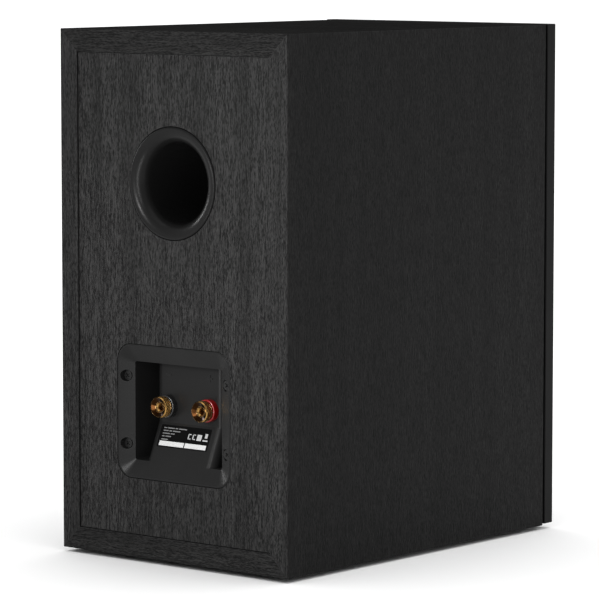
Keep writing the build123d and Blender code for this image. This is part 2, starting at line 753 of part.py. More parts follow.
def make_basket():
    """The cast frame: a flange, a conical wall with eight windows, and a shelf for the magnet."""
    flange_front = 0.3
    wall_top = 12.0
    wall_end = 29.0
    shelf = MAGNET_START - 6.0
    skin = 2.5
    ledge_radius = 76.2
    bowl_radius = 70.0
    shelf_radius = 49.0
    basket = turned_points(
        (WOOFER_FRAME, flange_front),
        (WOOFER_FRAME, WOOFER_FLANGE),
        (bowl_radius + 2.6, WOOFER_FLANGE),
        (bowl_radius + 2.6, wall_top),
        (shelf_radius + skin, wall_end),
        (shelf_radius + skin, shelf),
        (22.0, shelf),
        (22.0, shelf - skin),
        (44.5, shelf - skin),
        (44.5, SPIDER_LEVEL + SPIDER_THICKNESS),
        (shelf_radius, SPIDER_LEVEL + SPIDER_THICKNESS),
        (shelf_radius, wall_end + 0.2),
        (bowl_radius, wall_top + 0.2),
        (bowl_radius, SURROUND_SEAT),
        (ledge_radius, SURROUND_SEAT),
        (ledge_radius, flange_front),
    )
    windows = 8
    window_half = 15
    window_inner = 46
    window_outer = 84
    window_start = 8.0
    window_end = 27.5
    for turn in around(windows, 0):
        basket = basket - turn * block(
            window_inner, window_outer, -window_half, window_half, window_start, window_end
        )
    head_recess = 3.9
    head_recess_depth = 2.6
    shank_hole = 2.2
    for hole in around(WOOFER_SCREWS, WOOFER_SCREW_RADIUS, 30):
        basket = basket - hole * disc(head_recess, -1, head_recess_depth)
        basket = basket - hole * disc(shank_hole, -1, WOOFER_FLANGE + 1)
    return basket


def make_cone():
    """The cone, from its glued rim to its neck."""
    rim = 57.6
    neck = 16.5
    skin = 0.9
    return turned_points(
        (CONE_EDGE - 0.3, SURROUND_SEAT),
        (rim, SURROUND_SEAT),
        (neck, 24.0),
        (neck, 24.0 + skin + 0.3),
        (rim + 0.3, SURROUND_SEAT + skin),
        (CONE_EDGE - 0.3, SURROUND_SEAT + skin),
    )


def thin_dome(edge, rise, base, skin):
    """A shallow spherical shell whose rim lies at the base depth."""
    radius = (edge**2 + rise**2) / (2 * rise)
    shell = Sphere(radius) - Sphere(radius - skin)
    return Pos(0, 0, base - rise + radius) * shell & disc(edge + 5, -5, base)


def make_spider():
    """The corrugated centring disc between the basket's shelf and the coil former."""
    waves = 5
    start = 17.2
    end = 43.8
    inner = 16.7
    outer = 48.6
    height = 1.3
    pitch = (end - start) / (2 * waves)
    low = SPIDER_LEVEL + SPIDER_THICKNESS
    top = []
    under = []
    for i in range(2 * waves):
        a = start + i * pitch
        b = a + pitch
        rise = height if i % 2 else -height
        crest = ((a + b) / 2, SPIDER_LEVEL + rise)
        hollow = ((a + b) / 2, low + rise)
        top.append(ThreePointArc((a, SPIDER_LEVEL), crest, (b, SPIDER_LEVEL)))
        under.append(ThreePointArc((a, low), hollow, (b, low)))
    outer_lip = [
        Line((end, SPIDER_LEVEL), (outer, SPIDER_LEVEL)),
        Line((outer, SPIDER_LEVEL), (outer, low)),
        Line((outer, low), (end, low)),
    ]
    inner_lip = [Line((start, low), (inner, low)), Line((inner, low), (inner, SPIDER_LEVEL))]
    first = Line((inner, SPIDER_LEVEL), (start, SPIDER_LEVEL))
    return turned(first + top + outer_lip + under + inner_lip)


def tab_pair(place, board, tab, half_pitch):
    """Two soldering tabs on a small board."""
    return [place * board] + [place * Pos(x, 0, 0) * tab for x in (-half_pitch, half_pitch)]


def make_woofer():
    """The woofer, from its screws and frame to its cone and magnet system."""
    place = front(WOOFER_Z)
    save("woofer_basket", place * make_basket())

    trim_inner = 71.4
    trim_outer = 76.0
    trim = ring(trim_outer, trim_inner, -0.6, SURROUND_SEAT - ROLL_THICKNESS)
    save("woofer_trim_ring", place * fillet(trim.edges().group_by(Axis.Z)[0], 0.5))

    outline = roll_outline(
        trim_outer, 57.8, CONE_EDGE + ROLL_RADIUS, ROLL_RADIUS, SURROUND_SEAT, ROLL_THICKNESS, 0.45
    )
    save("woofer_surround", place * turned(outline))
    save("woofer_cone", place * make_cone())
    save("dust_cap", place * thin_dome(edge=24.0, rise=9.0, base=19.7, skin=0.8))

    former_radius = 16.4
    wall = 0.4
    save("coil_former", place * ring(former_radius, former_radius - wall, 22.0, 51.5))
    save("voice_coil", place * ring(17.3, former_radius + 0.05, 36.0, 50.0))
    save("spider", place * make_spider())

    magnet_end = MAGNET_START + 16.0
    plate_start = MAGNET_START - 6.0
    save("woofer_top_plate", place * ring(45.0, 17.8, plate_start, MAGNET_START))
    magnet = ring(50.0, 27.0, MAGNET_START, magnet_end)
    save("woofer_magnet", place * fillet(magnet.edges().filter_by(GeomType.CIRCLE), 1.0))
    yoke = disc(46.0, magnet_end, magnet_end + 6)
    yoke = chamfer(yoke.edges().sort_by(Axis.Z)[-1], 2.0)
    yoke = yoke + disc(15.5, plate_start, magnet_end + 1)
    save("woofer_yoke", place * (yoke - disc(5.0, 30, 70)))

    board = Pos(0, WOOFER_TAB_END - 7.0, WOOFER_TAB_DEPTH) * Box(24.0, 2.0, 8.0)
    tab = Pos(0, WOOFER_TAB_END - 3.0, WOOFER_TAB_DEPTH) * Box(4.8, 6.0, 0.8)
    save("woofer_terminals", *tab_pair(place, board, tab, 7))

    screws = []
    for hole in around(WOOFER_SCREWS, WOOFER_SCREW_RADIUS, 30):
        screws.append(place * hole * Pos(0, 0, 0.4) * cross_screw(3.6, 2.2, 1.7, 17.0))
    save("woofer_screws", *screws)


# ---- tweeter ----
def make_faceplate():
    """The tweeter's plate, with a shallow horn round the dome."""
    edge = 0.3
    horn_edge = 34.0
    throat = 18.4
    seat = 4.4
    back = 6.0
    back_radius = 37.0
    plate = turned(
        Polyline(
            (throat, seat),
            (throat, back),
            (back_radius, back),
            (back_radius, TWEETER_FLANGE),
            (TWEETER_PLATE, TWEETER_FLANGE),
            (TWEETER_PLATE, edge),
            (TWEETER_PLATE - edge, 0.0),
            (horn_edge, 0.0),
        )
        + ThreePointArc((horn_edge, 0.0), (25.8, 1.3), (throat, seat))
    )
    head_recess = 3.5
    head_recess_depth = 2.2
    shank_hole = 1.9
    for hole in around(TWEETER_SCREWS, TWEETER_SCREW_RADIUS, 45):
        plate = plate - hole * disc(head_recess, -1, head_recess_depth)
        plate = plate - hole * disc(shank_hole, -1, TWEETER_FLANGE + 1)
    return plate


def dome_roll_outline(outer, middle, radius, face, thickness, lift):
    """The small roll round the dome, with one flat lip on its outside."""
    seat = face + thickness
    big = radius + thickness / 2
    small = radius - thickness / 2
    crest = face - big + lift
    hollow = face - small + lift
    return (
        Line((outer, seat), (outer, face))
        + Line((outer, face), (middle + big, face))
        + ThreePointArc((middle + big, face), (middle, crest), (middle - big, face))
        + Line((middle - big, face), (middle - big, seat))
        + Line((middle - big, seat), (middle - small, seat))
        + ThreePointArc((middle - small, seat), (middle, hollow), (middle + small, seat))
        + Line((middle + small, seat), (outer, seat))
    )


def make_tweeter():
    """The dome tweeter, from its faceplate to its magnet system."""
    place = front(TWEETER_Z)
    save("tweeter_faceplate", place * make_faceplate())

    dome_base = 6.4
    dome_edge = 14.4
    save("tweeter_dome", place * thin_dome(edge=dome_edge, rise=6.4, base=dome_base, skin=0.5))
    roll = dome_roll_outline(outer=21.5, middle=16.3, radius=1.3, face=6.0, thickness=0.4, lift=0.2)
    save("tweeter_surround", place * turned(roll))

    coil_end = 9.6
    former = ring(dome_edge, dome_edge - 0.3, dome_base + 0.1, coil_end)
    winding = ring(dome_edge + 0.5, dome_edge, coil_end - 2, coil_end)
    save("tweeter_voice_coil", place * (former + winding))

    plate_start = dome_base
    magnet_start = plate_start + 3.6
    magnet_end = magnet_start + 12
    save("tweeter_top_plate", place * ring(36.0, 15.4, plate_start, magnet_start))
    magnet = ring(36.0, 18.0, magnet_start, magnet_end)
    save("tweeter_magnet", place * fillet(magnet.edges().filter_by(GeomType.CIRCLE), 0.8))
    yoke = disc(33.0, magnet_end, magnet_end + 5)
    yoke = chamfer(yoke.edges().sort_by(Axis.Z)[-1], 1.5)
    yoke = yoke + disc(13.7, dome_base + 1, magnet_end + 1)
    save("tweeter_yoke", place * yoke)

    board = Pos(0, TWEETER_TAB_DROP, magnet_end + 5.8) * Box(22.0, 10.0, 1.6)
    tab = Pos(0, TWEETER_TAB_DROP, TWEETER_TAB_END - 3.0) * Box(4.8, 0.8, 6.0)
    save("tweeter_terminals", *tab_pair(place, board, tab, 6))

    screws = []
    for hole in around(TWEETER_SCREWS, TWEETER_SCREW_RADIUS, 45):
        screws.append(place * hole * Pos(0, 0, 0.2) * cross_screw(3.2, 2.0, 1.5, 14.0))
    save("tweeter_screws", *screws)


def main():
    os.makedirs("parts", exist_ok=True)
    make_cabinet()
    make_rear_panel()
    make_baffle()
    make_brace()
    make_feet()
    make_wadding()
    make_port()
    make_cup()
    make_cup_gasket()
    make_cup_screws()
    make_label()
    make_posts()
    make_crossover()
    make_wires()
    make_woofer()
    make_tweeter()


main()
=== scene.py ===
import math
import bmesh
import bpy
from mathutils import Matrix, Vector, noise


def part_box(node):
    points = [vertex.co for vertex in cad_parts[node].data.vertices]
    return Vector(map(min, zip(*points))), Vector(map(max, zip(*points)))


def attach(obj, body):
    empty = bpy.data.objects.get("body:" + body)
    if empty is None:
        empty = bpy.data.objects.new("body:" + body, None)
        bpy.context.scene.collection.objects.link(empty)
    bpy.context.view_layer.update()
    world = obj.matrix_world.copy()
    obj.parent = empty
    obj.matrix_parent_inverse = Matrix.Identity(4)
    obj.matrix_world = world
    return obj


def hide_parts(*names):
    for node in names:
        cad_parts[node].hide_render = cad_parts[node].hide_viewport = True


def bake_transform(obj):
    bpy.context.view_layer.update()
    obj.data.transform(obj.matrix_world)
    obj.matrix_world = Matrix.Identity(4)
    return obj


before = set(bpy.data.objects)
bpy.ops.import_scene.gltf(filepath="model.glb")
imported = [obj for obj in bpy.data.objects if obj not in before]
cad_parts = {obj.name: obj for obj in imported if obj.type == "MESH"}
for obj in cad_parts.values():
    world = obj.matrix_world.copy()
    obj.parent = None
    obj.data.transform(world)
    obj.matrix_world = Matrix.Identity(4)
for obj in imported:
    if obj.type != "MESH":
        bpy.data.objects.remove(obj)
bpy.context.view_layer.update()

X, Y, Z = 0, 1, 2
MM = 0.001
CABINET = "cabinet"

# ---- camera, in metres and degrees ----
AZIMUTH = 219.7476
ELEVATION = 5.8435
DISTANCE = 2.5268
FOCAL_LENGTH = 221.17
SENSOR = 36.0
AIM_HEIGHT = 0.1767
AIM_RIGHT = -0.0099085
AIM_UP = -0.0110472
CLIP_END = 200.0

# ---- light and floor ----
SKY = 0.52
OVERHEAD = 0.9
OVERHEAD_SPREAD = 70
FLOOR_LIGHT = 2.05
FLOOR_LIGHT_SPREAD = 150
TILT_X = 4
TILT_Y = -6
FLOOR_RADIUS = 60.0
FLOOR_SIDES = 96
FLOOR_TONE = 0.90

# ---- printed label, as shares of its width and height ----
INK_HEIGHT = 0.03 * MM
LABEL_THICKNESS = 0.15 * MM
MARGIN = 0.06
TOP_ROW = 0.84
ROW_PITCH = 0.125
BAR_HEIGHT = 0.045
BAR_GAP = 0.018
BAR_ROWS = (
    (0.06, 0.13, 0.05, 0.16),
    (0.10, 0.05, 0.15),
    (0.14, 0.08),
    (0.05, 0.11),
)
LAST_BAR = (MARGIN, 0.32, 0.13, 0.05)
MARKS = (
    (0.57, 0.46, 0.06, 0.04),
    (0.57, 0.46, 0.02, 0.24),
    (0.57, 0.66, 0.06, 0.04),
    (0.66, 0.46, 0.06, 0.04),
    (0.66, 0.46, 0.02, 0.24),
    (0.66, 0.66, 0.06, 0.04),
    (0.75, 0.44, 0.09, 0.27),
    (0.90, 0.58, 0.05, 0.20),
    (0.87, 0.44, 0.10, 0.06),
)
BLANK_BOXES = (
    (0.04, 0.06, 0.49, 0.21),
    (0.55, 0.06, 0.42, 0.21),
)


# ---- material building ----
class Surface:
    """One material: a Principled shader and the procedural nodes that feed it."""

    def __init__(self, name, settings):
        self.material = bpy.data.materials.new(name)
        self.material.use_nodes = True
        self.nodes = self.material.node_tree.nodes
        self.links = self.material.node_tree.links
        self.shader = self.nodes["Principled BSDF"]
        for socket, value in settings.items():
            self.shader.inputs[socket].default_value = value

    def add(self, kind, inputs, **properties):
        """A node of that kind, with its properties and its inputs set or linked."""
        node = self.nodes.new(kind)
        for key, value in properties.items():
            setattr(node, key, value)
        for key, value in inputs.items():
            if isinstance(value, bpy.types.NodeSocket):
                self.links.new(value, node.inputs[key])
            else:
                node.inputs[key].default_value = value
        return node

    def place(self, stretch=(1.0, 1.0, 1.0), shift=(0.0, 0.0, 0.0)):
        """Coordinates in metres on the object itself, scaled along each axis."""
        source = self.add("ShaderNodeTexCoord", {}).outputs["Object"]
        mapping = self.add("ShaderNodeMapping", {"Vector": source, "Scale": stretch, "Location": shift})
        return mapping.outputs["Vector"]

    def noise(self, where, scale, detail=3.0, roughness=0.55, distortion=0.0):
        settings = {
            "Vector": where,
            "Scale": scale,
            "Detail": detail,
            "Roughness": roughness,
            "Distortion": distortion,
        }
        return self.add("ShaderNodeTexNoise", settings).outputs[0]

    def cells(self, where, scale, randomness=1.0):
        """Distance to the nearest of scattered points."""
        settings = {"Vector": where, "Scale": scale, "Randomness": randomness}
        return self.add("ShaderNodeTexVoronoi", settings).outputs["Distance"]

    def math(self, operation, first, second=0.0):
        return self.add("ShaderNodeMath", {0: first, 1: second}, operation=operation).outputs[0]

    def between(self, value, low, high, to_low=0.0, to_high=1.0):
        """value mapped from one range to another, and held inside it."""
        settings = {"Value": value, 1: low, 2: high, 3: to_low, 4: to_high}
        return self.add("ShaderNodeMapRange", settings, interpolation_type="SMOOTHSTEP").outputs[0]

    def mix(self, share, first, second):
        """A colour between two colours."""
        node = self.add("ShaderNodeMix", {}, data_type="RGBA")
        for socket, value in ((0, share), (6, first), (7, second)):
            if isinstance(value, bpy.types.NodeSocket):
                self.links.new(value, node.inputs[socket])
            else:
                node.inputs[socket].default_value = value
        return node.outputs[2]

    def axis(self, where, index):
        return self.add("ShaderNodeSeparateXYZ", {0: where}).outputs[index]

    def radius(self, where, first=X, second=Z):
        """Distance from the axis through the coordinates' origin."""
        a = self.axis(where, first)
        b = self.axis(where, second)
        total = self.math("ADD", self.math("MULTIPLY", a, a), self.math("MULTIPLY", b, b))
        return self.math("SQRT", total)

    def worn_edges(self, width, low=0.80, high=0.97):
        """1 along convex and concave edges and 0 on the flats."""
        rounded = self.add("ShaderNodeBevel", {"Radius": width}, samples=6).outputs[0]
        flat = self.add("ShaderNodeNewGeometry", {}).outputs["Normal"]
        match = self.add("ShaderNodeVectorMath", {0: rounded, 1: flat}, operation="DOT_PRODUCT")
        return self.between(match.outputs["Value"], low, high, 1.0, 0.0)

    def bump(self, height, distance, strength=1.0):
        settings = {"Height": height, "Distance": distance, "Strength": strength}
        bumped = self.add("ShaderNodeBump", settings)
        last = self.shader.inputs["Normal"]
        if last.is_linked:
            self.links.new(last.links[0].from_socket, bumped.inputs["Normal"])
        self.links.new(bumped.outputs["Normal"], last)

    def feed(self, socket, value):
        self.links.new(value, self.shader.inputs[socket])


def grey(level, warm=0.0):
    """A neutral colour, leaning warm or cool."""
    return (level * (1 + warm), level, level * (1 - warm), 1.0)


def rgb(red, green, blue):
    return (red, green, blue, 1.0)


# ---- materials of the cabinet ----
def along_axis(along, share):
    """Scales that draw a texture out along one axis."""
    stretch = [1.0, 1.0, 1.0]
    stretch[along] = share
    return stretch


def ash_vinyl(name, along, gloss, dark, bright):
    """Black ash foil: thin broken fibres and open pores along one axis, gathered in growth bands.

    dark and bright are pairs of tones: on the sides and top, and on the faces at the front and back. The
    second tone of each pair is painted light, not a change in the foil: it stands in for how differently
    the lamps fall on the faces at the front and back.
    """
    s = Surface(name, {"Specular IOR Level": gloss})
    bands = s.noise(s.place(along_axis(along, 0.03)), 75, detail=3.0, roughness=0.6)
    patches = s.noise(s.place(along_axis(along, 0.3)), 14, detail=2.0)
    fibres = s.noise(s.place(along_axis(along, 0.040)), 2100, detail=3.0, roughness=0.8)
    shifted = s.place(along_axis(along, 0.22), (3.1, 1.7, 2.3))
    dashes = s.noise(shifted, 1800, detail=2.0, roughness=0.6)
    pores = s.between(s.cells(s.place(along_axis(along, 0.13)), 900), 0.12, 0.38, 1.0, 0.0)
    tone = s.math("ADD", s.math("MULTIPLY", fibres, 0.58), s.math("MULTIPLY", dashes, 0.42))
    light = s.between(tone, 0.43, 0.58)
    banded = s.between(bands, 0.34, 0.66, 0.62, 1.0)
    patchy = s.between(patches, 0.3, 0.7, 0.85, 1.0)
    lift = s.math("MULTIPLY", light, s.math("MULTIPLY", banded, patchy))
    # Painted light: faces towards the front and back take other tones than the rest of the same foil.
    facing = s.math("ABSOLUTE", s.axis(s.add("ShaderNodeNewGeometry", {}).outputs["Normal"], Y))
    low = s.mix(facing, grey(dark[0]), grey(dark[1]))
    high = s.mix(facing, grey(bright[0], 0.01), grey(bright[1], 0.01))
    body = s.mix(lift, low, high)
    pored = s.mix(s.math("MULTIPLY", pores, 0.35), body, grey(0.003))
    edges = s.math("MULTIPLY", s.worn_edges(0.0007), 0.18)
    s.feed("Base Color", s.mix(edges, pored, grey(0.04)))
    s.feed("Roughness", s.between(light, 0.0, 1.0, 0.62, 0.40))
    s.bump(tone, 0.00018, 0.8)
    s.bump(s.math("MULTIPLY", pores, -1.0), 0.00010, 0.5)
    return s.material


def lacquer(name):
    """Satin black lacquer on fibreboard, with a faint orange peel."""
    s = Surface(name, {"Specular IOR Level": 0.08})
    peel = s.noise(s.place(), 420, detail=2.0)
    haze = s.noise(s.place(), 18, detail=3.0)
    specks = s.between(s.cells(s.place(), 260), 0.02, 0.06, 1.0, 0.0)
    body = s.mix(haze, grey(0.0040), grey(0.0070, -0.02))
    dusty = s.mix(s.math("MULTIPLY", specks, 0.15), body, grey(0.05))
    edges = s.math("MULTIPLY", s.worn_edges(0.0006), 0.35)
    s.feed("Base Color", s.mix(edges, dusty, grey(0.045)))
    s.feed("Roughness", s.between(haze, 0.3, 0.7, 0.36, 0.46))
    s.bump(peel, 0.00004, 0.35)
    return s.material


def moulded(name, low, high, roughness, grain=2600, specular=0.08, edge=0.03):
    """Moulded black plastic with a spark-eroded texture and slightly polished edges."""
    s = Surface(name, {"Specular IOR Level": specular})
    texture = s.noise(s.place(), grain, detail=2.0, roughness=0.6)
    cloud = s.noise(s.place(), 32, detail=3.0)
    body = s.mix(cloud, grey(low), grey(high))
    edges = s.math("MULTIPLY", s.worn_edges(0.0005), 0.45)
    s.feed("Base Color", s.mix(edges, body, grey(edge)))
    s.feed("Roughness", s.between(texture, 0.3, 0.7, roughness - 0.05, roughness + 0.07))
    s.bump(texture, 0.00006, 0.30)
    s.bump(cloud, 0.0006, 0.05)
    return s.material


def fibreboard(name):
    """Raw fibreboard: pressed brown fibres with darker flecks."""
    s = Surface(name, {"Specular IOR Level": 0.2})
    fibres = s.noise(s.place((1.0, 1.0, 0.35)), 900, detail=5.0, roughness=0.7)
    flecks = s.between(s.cells(s.place(), 420), 0.04, 0.16, 1.0, 0.0)
    body = s.mix(fibres, rgb(0.25, 0.15, 0.08), rgb(0.46, 0.32, 0.19))
    s.feed("Base Color", s.mix(s.math("MULTIPLY", flecks, 0.4), body, rgb(0.16, 0.09, 0.05)))
    s.feed("Roughness", s.between(fibres, 0.3, 0.7, 0.78, 0.95))
    s.bump(fibres, 0.00015, 0.5)
    return s.material


def rubber(name, low=0.006, high=0.014, roughness=0.62):
    """Dark rubber with a dusty bloom."""
    s = Surface(name, {"Specular IOR Level": 0.35})
    bloom = s.noise(s.place(), 60, detail=4.0)
    grain = s.noise(s.place(), 2400, detail=2.0)
    edges = s.math("MULTIPLY", s.worn_edges(0.0006), 0.30)
    body = s.mix(s.between(bloom, 0.35, 0.75), grey(low), grey(high))
    s.feed("Base Color", s.mix(edges, body, grey(0.03)))
    s.feed("Roughness", s.between(bloom, 0.3, 0.7, roughness - 0.08, roughness + 0.08))
    s.bump(grain, 0.00004, 0.3)
    return s.material


def fibre_fill(name):
    """Off-white polyester wadding: tangled fibres with loose tufts."""
    s = Surface(name, {"Specular IOR Level": 0.1, "Sheen Weight": 0.5, "Sheen Roughness": 0.6})
    tangle = s.noise(s.place(), 700, detail=6.0, roughness=0.75, distortion=2.5)
    tufts = s.noise(s.place(), 60, detail=4.0)
    body = s.mix(tangle, rgb(0.46, 0.45, 0.41), rgb(0.86, 0.86, 0.82))
    s.feed("Base Color", s.mix(s.between(tufts, 0.3, 0.7, 0.0, 0.3), body, rgb(0.60, 0.58, 0.52)))
    s.feed("Roughness", s.between(tangle, 0.2, 0.8, 0.82, 0.98))
    s.bump(tangle, 0.0006, 0.7)
    return s.material


def foam(name):
    """Closed-cell foam strip."""
    s = Surface(name, {"Specular IOR Level": 0.2})
    cells = s.cells(s.place(), 1900)
    s.feed("Base Color", s.mix(cells, grey(0.008), grey(0.035)))
    s.feed("Roughness", s.between(cells, 0.0, 0.6, 0.95, 0.75))
    s.bump(cells, 0.0002, 0.5)
    return s.material


def label_film(name):
    """A satin black film label with faint roller marks."""
    s = Surface(name, {"Specular IOR Level": 0.02})
    film = s.noise(s.place((0.15, 1.0, 1.0)), 500, detail=3.0)
    s.feed("Base Color", s.mix(film, grey(0.0014), grey(0.0030)))
    s.feed("Roughness", s.between(film, 0.3, 0.7, 0.42, 0.55))
    s.bump(film, 0.00003, 0.3)
    return s.material


def print_ink(name, level):
    """Printed ink, a little uneven where it is thin."""
    s = Surface(name, {"Specular IOR Level": 0.3})
    patch = s.noise(s.place(), 3200, detail=3.0)
    s.feed("Base Color", s.mix(s.between(patch, 0.35, 0.65), grey(level * 0.62), grey(level)))
    s.feed("Roughness", s.between(patch, 0.3, 0.7, 0.5, 0.65))
    s.bump(patch, 0.00001, 0.3)
    return s.material


# ---- materials of metal parts ----
def gold(name, post):
    """Gold plate over brass: a dark end face, painted near-black as a painted reflection of dark
    surroundings, and a knurled barrel that stays bright.
    """
    s = Surface(name, {"Metallic": 1.0})
    where = s.place((1.0, 1.0, 1.0), (0.0, 0.0, -post.z))
    turned = s.noise(s.place((0.02, 1.0, 0.02)), 5200, detail=3.0, roughness=0.7)
    patchy_tone = s.noise(s.place(), 420, detail=3.0)
    facing = s.math("ABSOLUTE", s.axis(s.add("ShaderNodeNewGeometry", {}).outputs["Normal"], Y))
    # Painted reflection: the end face is painted near-black, standing in for the dark surroundings it
    # mirrors.
    end_face = s.between(facing, 0.66, 0.78)
    barrel = s.between(facing, 0.10, 0.45, 1.0, 0.0)
    bright = s.mix(patchy_tone, rgb(0.50, 0.26, 0.065), rgb(0.75, 0.45, 0.15))
    deep = s.mix(patchy_tone, rgb(0.010, 0.004, 0.0015), rgb(0.032, 0.013, 0.004))
    body = s.mix(end_face, bright, deep)
    edges = s.math("MULTIPLY", s.worn_edges(0.0003), 0.55)
    s.feed("Base Color", s.mix(edges, body, rgb(0.95, 0.66, 0.30)))
    s.feed("Roughness", s.between(barrel, 0.0, 1.0, 0.14, 0.24))
    across = s.math("SUBTRACT", s.math("ABSOLUTE", s.axis(where, X)), abs(post.x))
    angle = s.math("ARCTAN2", s.axis(where, Z), across)
    teeth = s.math("MULTIPLY", angle, 26.0)
    along = s.math("MULTIPLY", s.axis(where, Y), 3700.0)
    one = s.math("SINE", s.math("ADD", teeth, along))
    other = s.math("SINE", s.math("SUBTRACT", teeth, along))
    knurl = s.math("MULTIPLY", s.math("MAXIMUM", one, other), barrel)
    s.bump(knurl, 0.00022, 1.0)
    s.bump(turned, 0.00002, 0.35)
    return s.material


def metal(name, low, high, roughness, stretch=(1.0, 1.0, 1.0), grain=1400, warm=0.0):
    """Plain metal with fine working marks, drawn out along a direction."""
    s = Surface(name, {"Metallic": 1.0})
    marks = s.noise(s.place(stretch), grain, detail=4.0, roughness=0.65)
    patina = s.noise(s.place(), 90, detail=3.0)
    body = s.mix(patina, grey(low, warm), grey(high, warm))
    edges = s.math("MULTIPLY", s.worn_edges(0.0004), 0.35)
    s.feed("Base Color", s.mix(edges, body, grey(min(1.0, high * 1.35), warm)))
    s.feed("Roughness", s.between(marks, 0.3, 0.7, roughness - 0.08, roughness + 0.10))
    s.bump(marks, 0.00003, 0.35)
    return s.material


def blackened_screw(name):
    """Black oxide screws: dark metal, rubbed brighter along the recess and the rim."""
    s = Surface(name, {"Metallic": 0.85, "Specular IOR Level": 0.5})
    marks = s.noise(s.place(), 2600, detail=3.0)
    edges = s.worn_edges(0.00035)
    body = s.mix(marks, grey(0.010), grey(0.024))
    s.feed("Base Color", s.mix(s.math("MULTIPLY", edges, 0.4), body, grey(0.10)))
    s.feed("Roughness", s.between(marks, 0.3, 0.7, 0.32, 0.48))
    s.bump(marks, 0.00003, 0.4)
    return s.material


def cast_metal(name):
    """Black powder coat on a die-cast frame."""
    s = Surface(name, {"Specular IOR Level": 0.4})
    powder = s.noise(s.place(), 1500, detail=3.0, roughness=0.6)
    edges = s.math("MULTIPLY", s.worn_edges(0.0006), 0.35)
    body = s.mix(powder, grey(0.008), grey(0.018))
    s.feed("Base Color", s.mix(edges, body, grey(0.05)))
    s.feed("Roughness", s.between(powder, 0.3, 0.7, 0.40, 0.56))
    s.bump(powder, 0.00008, 0.45)
    return s.material


def winding(name, along):
    """Enamelled copper wire: close turns stacked along an axis, with painted shade between the turns."""
    s = Surface(name, {"Metallic": 1.0, "Coat Weight": 0.5, "Coat Roughness": 0.15})
    wire_pitch = 0.0010
    where = s.place()
    phase = s.math("MULTIPLY", s.axis(where, along), 2 * math.pi / wire_pitch)
    turns = s.math("MULTIPLY_ADD", s.math("SINE", phase), 0.5)
    ridge = s.math("ABSOLUTE", s.math("SINE", s.math("MULTIPLY", phase, 0.5)))
    stain = s.noise(where, 160, detail=3.0)
    # Painted shade: darker between the turns, full copper on their crests.
    body = s.mix(ridge, rgb(0.20, 0.06, 0.025), rgb(0.76, 0.33, 0.15))
    s.feed("Base Color", s.mix(s.math("MULTIPLY", stain, 0.35), body, rgb(0.55, 0.20, 0.08)))
    s.feed("Roughness", s.between(turns, -0.5, 0.5, 0.34, 0.24))
    s.bump(ridge, 0.0004, 0.8)
    return s.material


# ---- materials of the inner parts ----
def glossy(name, deep, bright, roughness=0.22, coat=0.3):
    """Moulded glossy plastic with slight flow marks."""
    s = Surface(name, {"Specular IOR Level": 0.5, "Coat Weight": coat, "Coat Roughness": 0.12})
    flow = s.noise(s.place(), 180, detail=3.0, distortion=0.8)
    fine = s.noise(s.place(), 2800, detail=2.0)
    s.feed("Base Color", s.mix(flow, deep, bright))
    s.feed("Roughness", s.between(fine, 0.3, 0.7, roughness - 0.05, roughness + 0.08))
    s.bump(fine, 0.00002, 0.3)
    return s.material


def circuit_board(name):
    """Green solder mask over wide copper tracks, with a woven glass ground."""
    s = Surface(name, {"Specular IOR Level": 0.5, "Coat Weight": 0.4, "Coat Roughness": 0.2})
    weave_pitch = 900
    tracks = s.between(s.cells(s.place((1.0, 1.0, 0.0)), 46, 0.75), 0.30, 0.33)
    weave = s.noise(s.place((1.0, 0.2, 1.0)), weave_pitch, detail=2.0)
    mask = s.mix(weave, rgb(0.008, 0.055, 0.020), rgb(0.014, 0.085, 0.032))
    s.feed("Base Color", s.mix(tracks, mask, rgb(0.030, 0.14, 0.05)))
    s.feed("Roughness", s.between(weave, 0.3, 0.7, 0.30, 0.42))
    s.bump(tracks, 0.00006, 0.8)
    s.bump(weave, 0.00002, 0.4)
    return s.material


def cement_block(name):
    """Cast white cement with tiny voids."""
    s = Surface(name, {"Specular IOR Level": 0.2})
    grain = s.noise(s.place(), 1300, detail=4.0)
    pits = s.between(s.cells(s.place(), 800), 0.05, 0.16, 1.0, 0.0)
    body = s.mix(grain, rgb(0.58, 0.57, 0.52), rgb(0.78, 0.77, 0.72))
    s.feed("Base Color", s.mix(s.math("MULTIPLY", pits, 0.5), body, rgb(0.36, 0.35, 0.31)))
    s.feed("Roughness", s.between(grain, 0.3, 0.7, 0.78, 0.93))
    s.bump(s.math("SUBTRACT", grain, pits), 0.00012, 0.5)
    return s.material


def cone_skin(name, centre_z):
    """A coated fibre cone: pressed rings about its axis over a felted, slightly speckled skin."""
    s = Surface(name, {"Specular IOR Level": 0.35})
    where = s.place((1.0, 1.0, 1.0), (0.0, 0.0, -centre_z))
    ring_scale = 5200.0
    reach = s.radius(where)
    rings = s.math("SINE", s.math("MULTIPLY", reach, ring_scale))
    felt = s.noise(s.place(), 1500, detail=5.0, roughness=0.7)
    cloud = s.noise(s.place(), 40, detail=3.0)
    speck = s.between(s.cells(s.place(), 900), 0.05, 0.14, 1.0, 0.0)
    body = s.mix(cloud, grey(0.010, -0.02), grey(0.022, -0.02))
    s.feed("Base Color", s.mix(s.math("MULTIPLY", speck, 0.25), body, grey(0.07)))
    s.feed("Roughness", s.between(felt, 0.3, 0.7, 0.46, 0.64))
    s.bump(rings, 0.00005, 0.35)
    s.bump(felt, 0.00012, 0.35)
    return s.material


